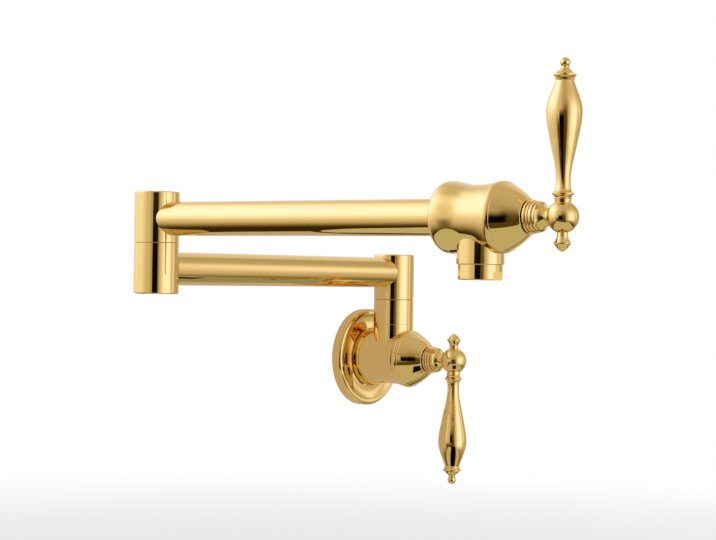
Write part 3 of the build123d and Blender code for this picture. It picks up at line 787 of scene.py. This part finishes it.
def drum(height, tube_rise, *bores):
    """Closed end up: a plain drum with a rounded upper rim, a cap's seat, bores and tube socket."""
    radius = drum_diameter / 2
    skin = Outline((0, 0), (radius, 0), (radius, height - RIM_ROUND))
    skin.arc((radius - RIM_ROUND, height), (0, 1)).line((0, height))
    piece = turn(skin)
    wide, narrow = tube_diameter / 2 + SOCKET_PLAY, WATERWAY / 2
    socket = turn(Outline((0, 0), (narrow, 0), (narrow, tube_end), (wide, tube_end),
                          (wide, 2 * radius), (0, 2 * radius)), edge=0)
    put(socket, at(0, 0, tube_rise) @ turned_by(90, "Y"))
    cutters = [cylinder(*bore) for bore in bores]
    cutters += [cylinder(CAP_SEAT, height - CAP_HEIGHT, height + PAST)]
    return combine(piece, "DIFFERENCE", *cutters, socket)


head_rise = lower_height - head.low.z
running = head_rise - WATERWAY / 2 - CHAMBER_CLEAR
riser_drum = drum(head.size.z, head_rise, (POST, -PAST, running + PAST),
                  (CHAMBER, running, head.size.z - PAST))
finish_piece(riser_drum, "riser_head", at(riser_x, riser_y, head.low.z) @ turned_by(180, "Z"))

upper_rise = upper_height - upper_drum.low.z
upper_half = drum(upper_drum.size.z, upper_rise, (POST_FLANGE, -PAST, POST_FLANGE_HEIGHT),
                  (POST_THREAD, -PAST, upper_rise),
                  (CHAMBER, upper_rise - WATERWAY / 2, upper_drum.size.z - PAST))
finish_piece(upper_half, "elbow_upper_half",
             at(elbow_x, elbow_y, upper_drum.low.z) @ turned_by(-90, "Z"))

# the lower half hangs the other way up, so it is drawn upside down: its seam is at its foot
lower_rise = lower_drum.high.z - lower_height
lower_running = lower_rise - WATERWAY / 2 - SEAM
lower_half = drum(lower_drum.size.z, lower_rise, (POST, -PAST, lower_running + PAST),
                  (CHAMBER, lower_running, lower_drum.size.z - PAST))
groove = turn(ring_outline(WASHER_OUTER, WASHER_INNER, -PAST, WASHER_DROP), edge=0)
combine(lower_half, "DIFFERENCE", groove)
finish_piece(lower_half, "elbow_lower_half",
             at(elbow_x, elbow_y, lower_drum.high.z) @ turned_by(180, "X"))

# %% Sleeve and caps
sleeve_radius, sleeve_low, sleeve_high = drum_diameter / 2, sleeve.low.z, sleeve.high.z
flange_floor, washer_floor = sleeve_high - POST_FLANGE_HEIGHT, sleeve_high - WASHER_DROP
sleeve_outline = closed(
    (POST_THREAD / 2, sleeve_low), (sleeve_radius, sleeve_low), (sleeve_radius, sleeve_high),
    (WASHER_OUTER / 2, sleeve_high), (WASHER_OUTER / 2, washer_floor),
    (WASHER_INNER / 2, washer_floor), (WASHER_INNER / 2, sleeve_high),
    (POST_FLANGE / 2, sleeve_high), (POST_FLANGE / 2, flange_floor),
    (POST_THREAD / 2, flange_floor))
finish_piece(turn(sleeve_outline), "riser_sleeve", at(riser_x, riser_y, 0))

CAP_BEVEL, CAP_EDGE = 0.5, 0.06


def cap(extent):
    radius, height = extent.size.x / 2, extent.size.z
    outline = Outline((0, 0), (radius, 0), (radius, height - CAP_BEVEL))
    outline.line((radius - CAP_BEVEL, height), (0, height))
    return turn(outline, CAP_EDGE)


for node, flip in (("riser_head_cap", 0), ("elbow_top_cap", 0), ("elbow_bottom_cap", 180)):
    extent = Extent(node)
    foot = at(extent.middle.x, extent.middle.y, extent.high.z if flip else extent.low.z)
    finish_piece(cap(extent), node, foot @ turned_by(flip, "X"))

# %% [markdown]
# ## Wall flange
#
# A turned cover plate: a straight outer wall, a rolled bead round the rim, a shallow dish, and a
# deep well in the middle that the valve's round back sits in. Behind, it is hollow.

# %% Wall flange
flange = Extent("wall_flange")
BEAD_WIDTH, BEAD_HEIGHT, DISH_DEPTH, FLANGE_WALL = 4.6, 0.5, 1.5, 6.2
WELL_DIAMETER, WEB_TOP, SPIGOT_HOLE, GASKET_HEIGHT = 43.6, 3.8, 27.2, 1.2
FLANGE_SKIN, RIM_LAND, HOLLOW_CORNER, LIP_DROP, BACK_EDGE = 2.2, 2.4, 1.4, 0.4, 0.4


def wall_flange():
    rim, height = flange.size.x / 2, flange.size.y
    well, hole = WELL_DIAMETER / 2, SPIGOT_HOLE / 2
    dish_rim, dish_floor = height - BEAD_HEIGHT, height - DISH_DEPTH
    hollow, land, inner = dish_floor - FLANGE_SKIN, rim - RIM_LAND, well + FLANGE_SKIN
    outline = Outline((rim - BACK_EDGE, 0), (rim, BACK_EDGE), (rim, FLANGE_WALL))
    outline.run((rim - BEAD_WIDTH / 2, height), (0, 1), (-1, 0))
    outline.run((rim - BEAD_WIDTH, dish_rim), (-1, 0), (-1, -1))
    outline.through(((rim - BEAD_WIDTH + well) / 2, dish_floor), (well, dish_rim - LIP_DROP),
                    steps=24)
    outline.line((well, WEB_TOP), (hole, WEB_TOP), (hole, GASKET_HEIGHT), (inner, GASKET_HEIGHT),
                 (inner, hollow), (land - HOLLOW_CORNER, hollow), (land, hollow - HOLLOW_CORNER),
                 (land, 0), (rim - BACK_EDGE, 0))
    return turn(outline)


finish_piece(wall_flange(), "wall_flange", turned_by(90, "X"))

# %% [markdown]
# ## Valve bodies
#
# Both valves are the same hourglass casting, drawn here from its back, at negative heights, to its
# front lip. The wall valve grows a drum upwards for the riser; the one at the spout has a slimmer
# neck downwards for the outlet. Where drum or neck meets the hourglass the photograph shows a
# crisp line, so the two are joined by a boolean and no fillet is added.

# %% Valve bodies
BACK, SHOULDER_RADIUS, SHOULDER_ROUND, WAIST_RADIUS, WAIST = -25.5, 21.3, 4.8, 18.9, -3.5
CROWN_RADIUS, CROWN, FLARE, FRONT, FRONT_RADIUS = 20.8, 14.6, 0.3, 18.8, 20.1
CARTRIDGE_BORE, CARTRIDGE_SEAT, PASSAGE = 20.6, -8.0, 11.0
SPIGOT_OUTER, SPIGOT_BORE, SPIGOT_LENGTH = 30.0, 26.0, 3.5
INLET_SPIGOT, INLET_BORE, INLET_DEPTH, WALL_SIDE = 26.6, 18.6, 14.0, -29.5
POST_BORE, POST_SCREWED = 8.5, 11
OUTLET_NECK, NECK_DROP, NECK_THREAD, NECK_THREAD_DEPTH, NECK_EDGE = 28.0, 27.5, 24.0, 9.0, 0.5
TUBE_SOCKET_DEPTH = 11.5
spigot_end = FRONT + SPIGOT_LENGTH


def hourglass(*back):
    """The body's skin, solid, with the spigot that the bonnet screws on in front."""
    skin = Outline(*back, (SHOULDER_RADIUS - SHOULDER_ROUND, BACK))
    skin.arc((SHOULDER_RADIUS, BACK + SHOULDER_ROUND), (1, 0))
    skin.run((WAIST_RADIUS, WAIST), (0, 1), (0, 1))
    skin.run((CROWN_RADIUS, CROWN), (0, 1), (FLARE, 1))
    skin.arc((FRONT_RADIUS, FRONT), (FLARE, 1))
    skin.line((SPIGOT_OUTER / 2, FRONT), (SPIGOT_OUTER / 2, spigot_end), (0, spigot_end))
    return turn(skin)


def stepped_cutter(start, *steps):
    """A drill of several diameters, from its start: pairs of a diameter and where it ends."""
    outline = Outline((0, start))
    for diameter, end in steps:
        outline.line((diameter / 2, outline.points[-1].y), (diameter / 2, end))
    outline.line((0, steps[-1][1]))
    return turn(outline, edge=0)


def upright(piece):
    """Stands a piece that is drawn along Z on the valve's axis, before the valve is laid down."""
    return put(piece, turned_by(-90, "X"))


front_steps = ((PASSAGE, CARTRIDGE_SEAT), (CARTRIDGE_BORE, FRONT),
               (SPIGOT_BORE, spigot_end + PAST))
boss_top, web_end = sleeve.low.z, WALL_SIDE + WEB_TOP
wall_body = hourglass((0, WALL_SIDE), (INLET_SPIGOT / 2, WALL_SIDE), (INLET_SPIGOT / 2, web_end),
                      (SHOULDER_RADIUS - SHOULDER_ROUND, web_end))
combine(wall_body, "UNION", upright(cylinder(drum_diameter, 0, boss_top, EDGE_BREAK)))
combine(wall_body, "DIFFERENCE",
        stepped_cutter(WALL_SIDE - PAST, (INLET_BORE, WALL_SIDE + INLET_DEPTH), *front_steps),
        upright(stepped_cutter(0, (POST_BORE, boss_top - POST_SCREWED),
                               (POST_THREAD, boss_top + PAST))))
finish_piece(wall_body, "wall_valve_body", wall_valve)

spout_body = hourglass((0, BACK))
neck_radius = OUTLET_NECK / 2
neck = Outline((0, -NECK_DROP), (neck_radius - NECK_EDGE, -NECK_DROP))
neck.arc((neck_radius, NECK_EDGE - NECK_DROP), (1, 0), steps=6).line((neck_radius, 0), (0, 0))
combine(spout_body, "UNION", upright(turn(neck)))
tube_socket = (tube_diameter + 2 * SOCKET_PLAY, BACK + TUBE_SOCKET_DEPTH)
combine(spout_body, "DIFFERENCE", stepped_cutter(BACK - PAST, tube_socket, *front_steps),
        upright(stepped_cutter(-NECK_DROP - PAST, (NECK_THREAD, NECK_THREAD_DEPTH - NECK_DROP),
                               (PASSAGE, 0))))
finish_piece(spout_body, "spout_valve_body", spout_valve)

# %% [markdown]
# ## Bonnets
#
# The cone in front of each valve hides the cartridge. Its side bows out very slightly, which is
# what bends the bright and dark areas that it reflects into two large calm fields.

# %% Bonnets
BONNET_BASE, BONNET_TIP, BONNET_LENGTH, BONNET_SWELL, TIP_EDGE = 19.9, 10.6, 15.2, 0.5, 0.7
BONNET_WALL, BONNET_MOUTH = 2.2, 7.5


def bonnet():
    top = FRONT + BONNET_LENGTH
    slope = (BONNET_BASE - BONNET_TIP) / BONNET_LENGTH
    thread = SPIGOT_OUTER / 2 + SOCKET_PLAY
    inner_top = top - BONNET_WALL
    inner_tip = BONNET_TIP + slope * BONNET_WALL - BONNET_WALL * sqrt(1 + slope ** 2)
    inner_foot = inner_tip + slope * (inner_top - spigot_end)
    outline = Outline((BONNET_BASE, FRONT))
    outline.through(((BONNET_BASE + BONNET_TIP) / 2 + BONNET_SWELL, FRONT + BONNET_LENGTH / 2),
                    (BONNET_TIP, top - TIP_EDGE), steps=RUN_STEPS)
    outline.arc((BONNET_TIP - TIP_EDGE, top), (-0.2, 1), steps=6)
    outline.line((BONNET_MOUTH, top), (BONNET_MOUTH, inner_top), (inner_tip, inner_top),
                 (inner_foot, spigot_end), (thread, spigot_end), (thread, FRONT),
                 (BONNET_BASE, FRONT))
    return turn(outline)


finish_piece(bonnet(), "wall_bonnet", wall_valve)
finish_piece(bonnet(), "spout_bonnet", spout_valve)

# %% [markdown]
# ## Handles
#
# A handle is three turned pieces: a hub with a stepped collar, a bell neck and a ball; a baluster
# lever pressed into the ball; and a small acorn on the other side of it. The outlines are the most
# shapely in the tap, and small errors show at once, so they have the most named sizes.

# %% Handle hub
COLLAR_FOOT, BALL_SET, BALL_RADIUS = 35.0, 56.4, 9.4
RING_RADII, RING_HEIGHTS, RING_EDGE = (9.9, 9.4, 9.15, 8.6), (1.2, 1.2, 1.8, 1.6), 0.2
RING_GROOVES, GROOVE_DEPTH = (0, 0.8, 0.4, 0.4), 0.4          # the groove under each ring
BELL_RADIUS, LEVER_FLAT, TAIL_FLAT = 4.85, 5.1, 3.3
LEVER_HOLE, TAIL_HOLE = 5.08, 4.08
LEVER_STUB, TAIL_STUB, STUB_LENGTH = 2.5, 2.0, 3.5             # radii, and how deep they sit
STEM_HOLE, STEM_END, SCREW_HOLE, SCREW_SET = 8.08, 43.6, 4.08, 3.4
lever_side, tail_side = turned_by(-90, "X"), turned_by(90, "X")
lever_seat = sqrt(BALL_RADIUS ** 2 - LEVER_FLAT ** 2)
tail_seat = sqrt(BALL_RADIUS ** 2 - TAIL_FLAT ** 2)


def seat_drill(seat, hole):
    """Drills the hole of a stub and faces the ball off round it."""
    return stepped_cutter(seat - STUB_LENGTH, (hole, seat), (2 * BALL_RADIUS, 2 * BALL_RADIUS))


def handle_hub():
    outline = Outline((0, COLLAR_FOOT))
    height = COLLAR_FOOT
    for radius, ring, groove in zip(RING_RADII, RING_HEIGHTS, RING_GROOVES):
        if groove:
            floor = radius - RING_EDGE - GROOVE_DEPTH
            outline.line((floor, height), (floor, height + groove))
            height += groove
        outline.line((radius - RING_EDGE, height))
        outline.arc((radius, height + RING_EDGE), (1, 0), steps=4)
        outline.line((radius, height + ring - RING_EDGE))
        outline.arc((radius - RING_EDGE, height + ring), (0, 1), steps=4)
        height += ring
    bell_top = Vector((BELL_RADIUS, BALL_SET - sqrt(BALL_RADIUS ** 2 - BELL_RADIUS ** 2)))
    bell = Outline(bell_top).arc(outline.points[-1], (0, -1), steps=20).points
    outline.line(*reversed(bell[:-1]))
    outline.through((BALL_RADIUS, BALL_SET), (0, BALL_SET + BALL_RADIUS), steps=56)
    hub = turn(outline, FINE_EDGE)
    ball, screw = at(0, 0, BALL_SET), at(0, 0, COLLAR_FOOT + SCREW_SET)
    return combine(hub, "DIFFERENCE", cylinder(STEM_HOLE, COLLAR_FOOT - PAST, STEM_END),
                   put(seat_drill(lever_seat, LEVER_HOLE), ball @ lever_side),
                   put(seat_drill(tail_seat, TAIL_HOLE), ball @ tail_side),
                   put(cylinder(SCREW_HOLE, 0, COLLAR_FOOT), screw @ tail_side))


print("from the ball's middle to the seats:", round(lever_seat, 2), "and", round(tail_seat, 2))

# %% Lever and its acorn
LEVER_TIP = 89.9                # the drops are measured down from the tip
FOOT_RADIUS, FOOT_HEIGHT, FOOT_BEAD = 4.7, 2.2, 0.35
RING_RADIUS, RING_SET, LOW_WAIST, LOW_WAIST_SET = 6.4, 13.0, 4.15, 20.0
FLANK_RADIUS, FLANK_DROP, BULGE_RADIUS, BULGE_DROP = 7.8, 47.9, 10.4, 30.9
TOP_WAIST, TOP_WAIST_DROP, TOP_FALL = 5.2, 13.1, 0.35
TOP_RING, TOP_RING_DROP, TOP_SHOULDER, TOP_SHOULDER_DROP = 6.7, 10.0, 3.95, 7.4
TOP_NECK, TIP_BEAD, RIM = 2.25, 3.0, 0.3
ACORN_TIP, ACORN_NECK, ACORN_NECK_LENGTH, ACORN_BULGE, ACORN_BULGE_DROP = 19.8, 3.2, 1.9, 4.95, 5.1
ACORN_SHOULDER, ACORN_SHOULDER_DROP = 4.05, 3.5
ACORN_BELLY, ACORN_BELLY_DROP, ACORN_POINT = 2.85, 1.85, 1.2
FLANK_SLOPE = 0.185             # how fast the side swells where the flank is measured


def lever():
    stub_end, bead_foot = lever_seat - STUB_LENGTH, lever_seat + FOOT_HEIGHT
    ring_foot = lever_seat + FOOT_HEIGHT + 2 * FOOT_BEAD
    ring_top = 2 * RING_SET - ring_foot
    waist = Vector((LOW_WAIST, LOW_WAIST_SET))
    shoulder = Vector((TOP_SHOULDER, LEVER_TIP - TOP_SHOULDER_DROP))
    bead_set = LEVER_TIP - TIP_BEAD
    neck = Vector((TOP_NECK, bead_set - sqrt(TIP_BEAD ** 2 - TOP_NECK ** 2)))
    outline = Outline((0, stub_end), (LEVER_STUB, stub_end), (LEVER_STUB, lever_seat),
                      (FOOT_RADIUS, lever_seat), (FOOT_RADIUS, bead_foot))
    outline.through((FOOT_RADIUS + FOOT_BEAD, bead_foot + FOOT_BEAD), (FOOT_RADIUS, ring_foot),
                    steps=8)
    outline.run((RING_RADIUS, RING_SET - RIM), (0.4, 1), (1, 0.6))
    outline.line((RING_RADIUS, RING_SET + RIM))
    outline.run((FOOT_RADIUS, ring_top), (-1, 0.6), (-0.4, 1))
    outline.line(*reversed(Outline(waist).arc((FOOT_RADIUS, ring_top), (0, -1)).points[:-1]))
    outline.run((FLANK_RADIUS, LEVER_TIP - FLANK_DROP), (0, 1), (FLANK_SLOPE, 1))
    outline.run((BULGE_RADIUS, LEVER_TIP - BULGE_DROP), (FLANK_SLOPE, 1), (0, 1))
    outline.run((TOP_WAIST, LEVER_TIP - TOP_WAIST_DROP), (0, 1), (-TOP_FALL, 1))
    top_rim = LEVER_TIP - TOP_RING_DROP
    outline.run((TOP_RING, top_rim - RIM), (0.5, 1), (1, 0.6)).line((TOP_RING, top_rim + RIM))
    outline.run(shoulder, (-1, 0.5), (-0.6, 1))
    outline.line(*reversed(Outline(neck).arc(shoulder, (0, -1)).points[:-1]))
    outline.through((TIP_BEAD, bead_set), (0, LEVER_TIP), steps=28)
    return turn(outline, FINE_EDGE)


def acorn():
    stub_end = tail_seat - STUB_LENGTH
    outline = Outline((0, stub_end), (TAIL_STUB, stub_end), (TAIL_STUB, tail_seat),
                      (ACORN_NECK, tail_seat), (ACORN_NECK, tail_seat + ACORN_NECK_LENGTH))
    outline.arc((ACORN_BULGE, ACORN_TIP - ACORN_BULGE_DROP), (0.15, 1))
    outline.arc((ACORN_SHOULDER, ACORN_TIP - ACORN_SHOULDER_DROP), (0, 1), steps=6)
    outline.through((ACORN_BELLY, ACORN_TIP - ACORN_BELLY_DROP),
                    (ACORN_POINT, ACORN_TIP - ACORN_POINT / 2), steps=8)
    tip = Outline((0, ACORN_TIP)).arc(outline.points[-1], (1, 0), steps=6).points
    outline.line(*reversed(tip[:-1]))
    return turn(outline, FINE_EDGE)


print("lever reaches", LEVER_TIP, "and its acorn", ACORN_TIP, "from the ball's middle")

# %% Both handles: the wall lever hangs down and the spout lever stands up
for end, valve, half_turn in (("wall", wall_valve, 180), ("spout", spout_valve, 0)):
    handle = valve @ turned_by(half_turn, "Z")
    ball = handle @ at(0, 0, BALL_SET)
    finish_piece(handle_hub(), end + "_handle_hub", handle)
    finish_piece(lever(), end + "_lever", ball @ lever_side)
    finish_piece(acorn(), end + "_lever_tail", ball @ tail_side)

# %% [markdown]
# ## Aerator housing
#
# The ring under the outlet is screwed in with a spanner, so it has two flats. It is a fine seam
# narrower than the neck above it.

# %% Aerator housing
FLATS, FLATS_HEIGHT = 24.4, 5.0
FLATS_CUTTER = Vector((40, 10, FLATS_HEIGHT + 2 * PAST))
AERATOR_BORE, AERATOR_LIP, LIP_BORE, AERATOR_EDGE = 20.4, 1.2, 18.4, 0.8
HOUSING_DROP, SCREWED = 9.0, 7.5


def aerator_housing():
    radius, thread = outlet.size.x / 2, NECK_THREAD / 2 - SOCKET_PLAY
    bore, lip, lip_top = AERATOR_BORE / 2, LIP_BORE / 2, AERATOR_LIP - HOUSING_DROP
    outline = Outline((lip, -HOUSING_DROP), (radius - AERATOR_EDGE, -HOUSING_DROP))
    outline.arc((radius, AERATOR_EDGE - HOUSING_DROP), (1, 0), steps=8)
    outline.line((radius, 0), (thread, 0), (thread, SCREWED), (bore, SCREWED), (bore, lip_top),
                 (lip, lip_top), (lip, -HOUSING_DROP))
    housing = turn(outline)
    for side in (-1, 1):
        leave_nothing_selected()
        aside, height = (FLATS + FLATS_CUTTER.y) / 2, FLATS_HEIGHT / 2 - HOUSING_DROP - PAST
        bpy.ops.mesh.primitive_cube_add(size=1, location=Vector((0, side * aside, height)) * MM)
        bpy.context.object.scale = FLATS_CUTTER * MM
        bpy.ops.object.transform_apply(location=True, rotation=True, scale=True)
        combine(housing, "DIFFERENCE", bpy.context.object)
    return housing


finish_piece(aerator_housing(), "aerator_housing", at(outlet_x, outlet_y, upper_height - NECK_DROP))
faces = sum(len(piece.data.polygons) for piece in made.values())
print("pieces modelled:", len(made), "faces:", faces)
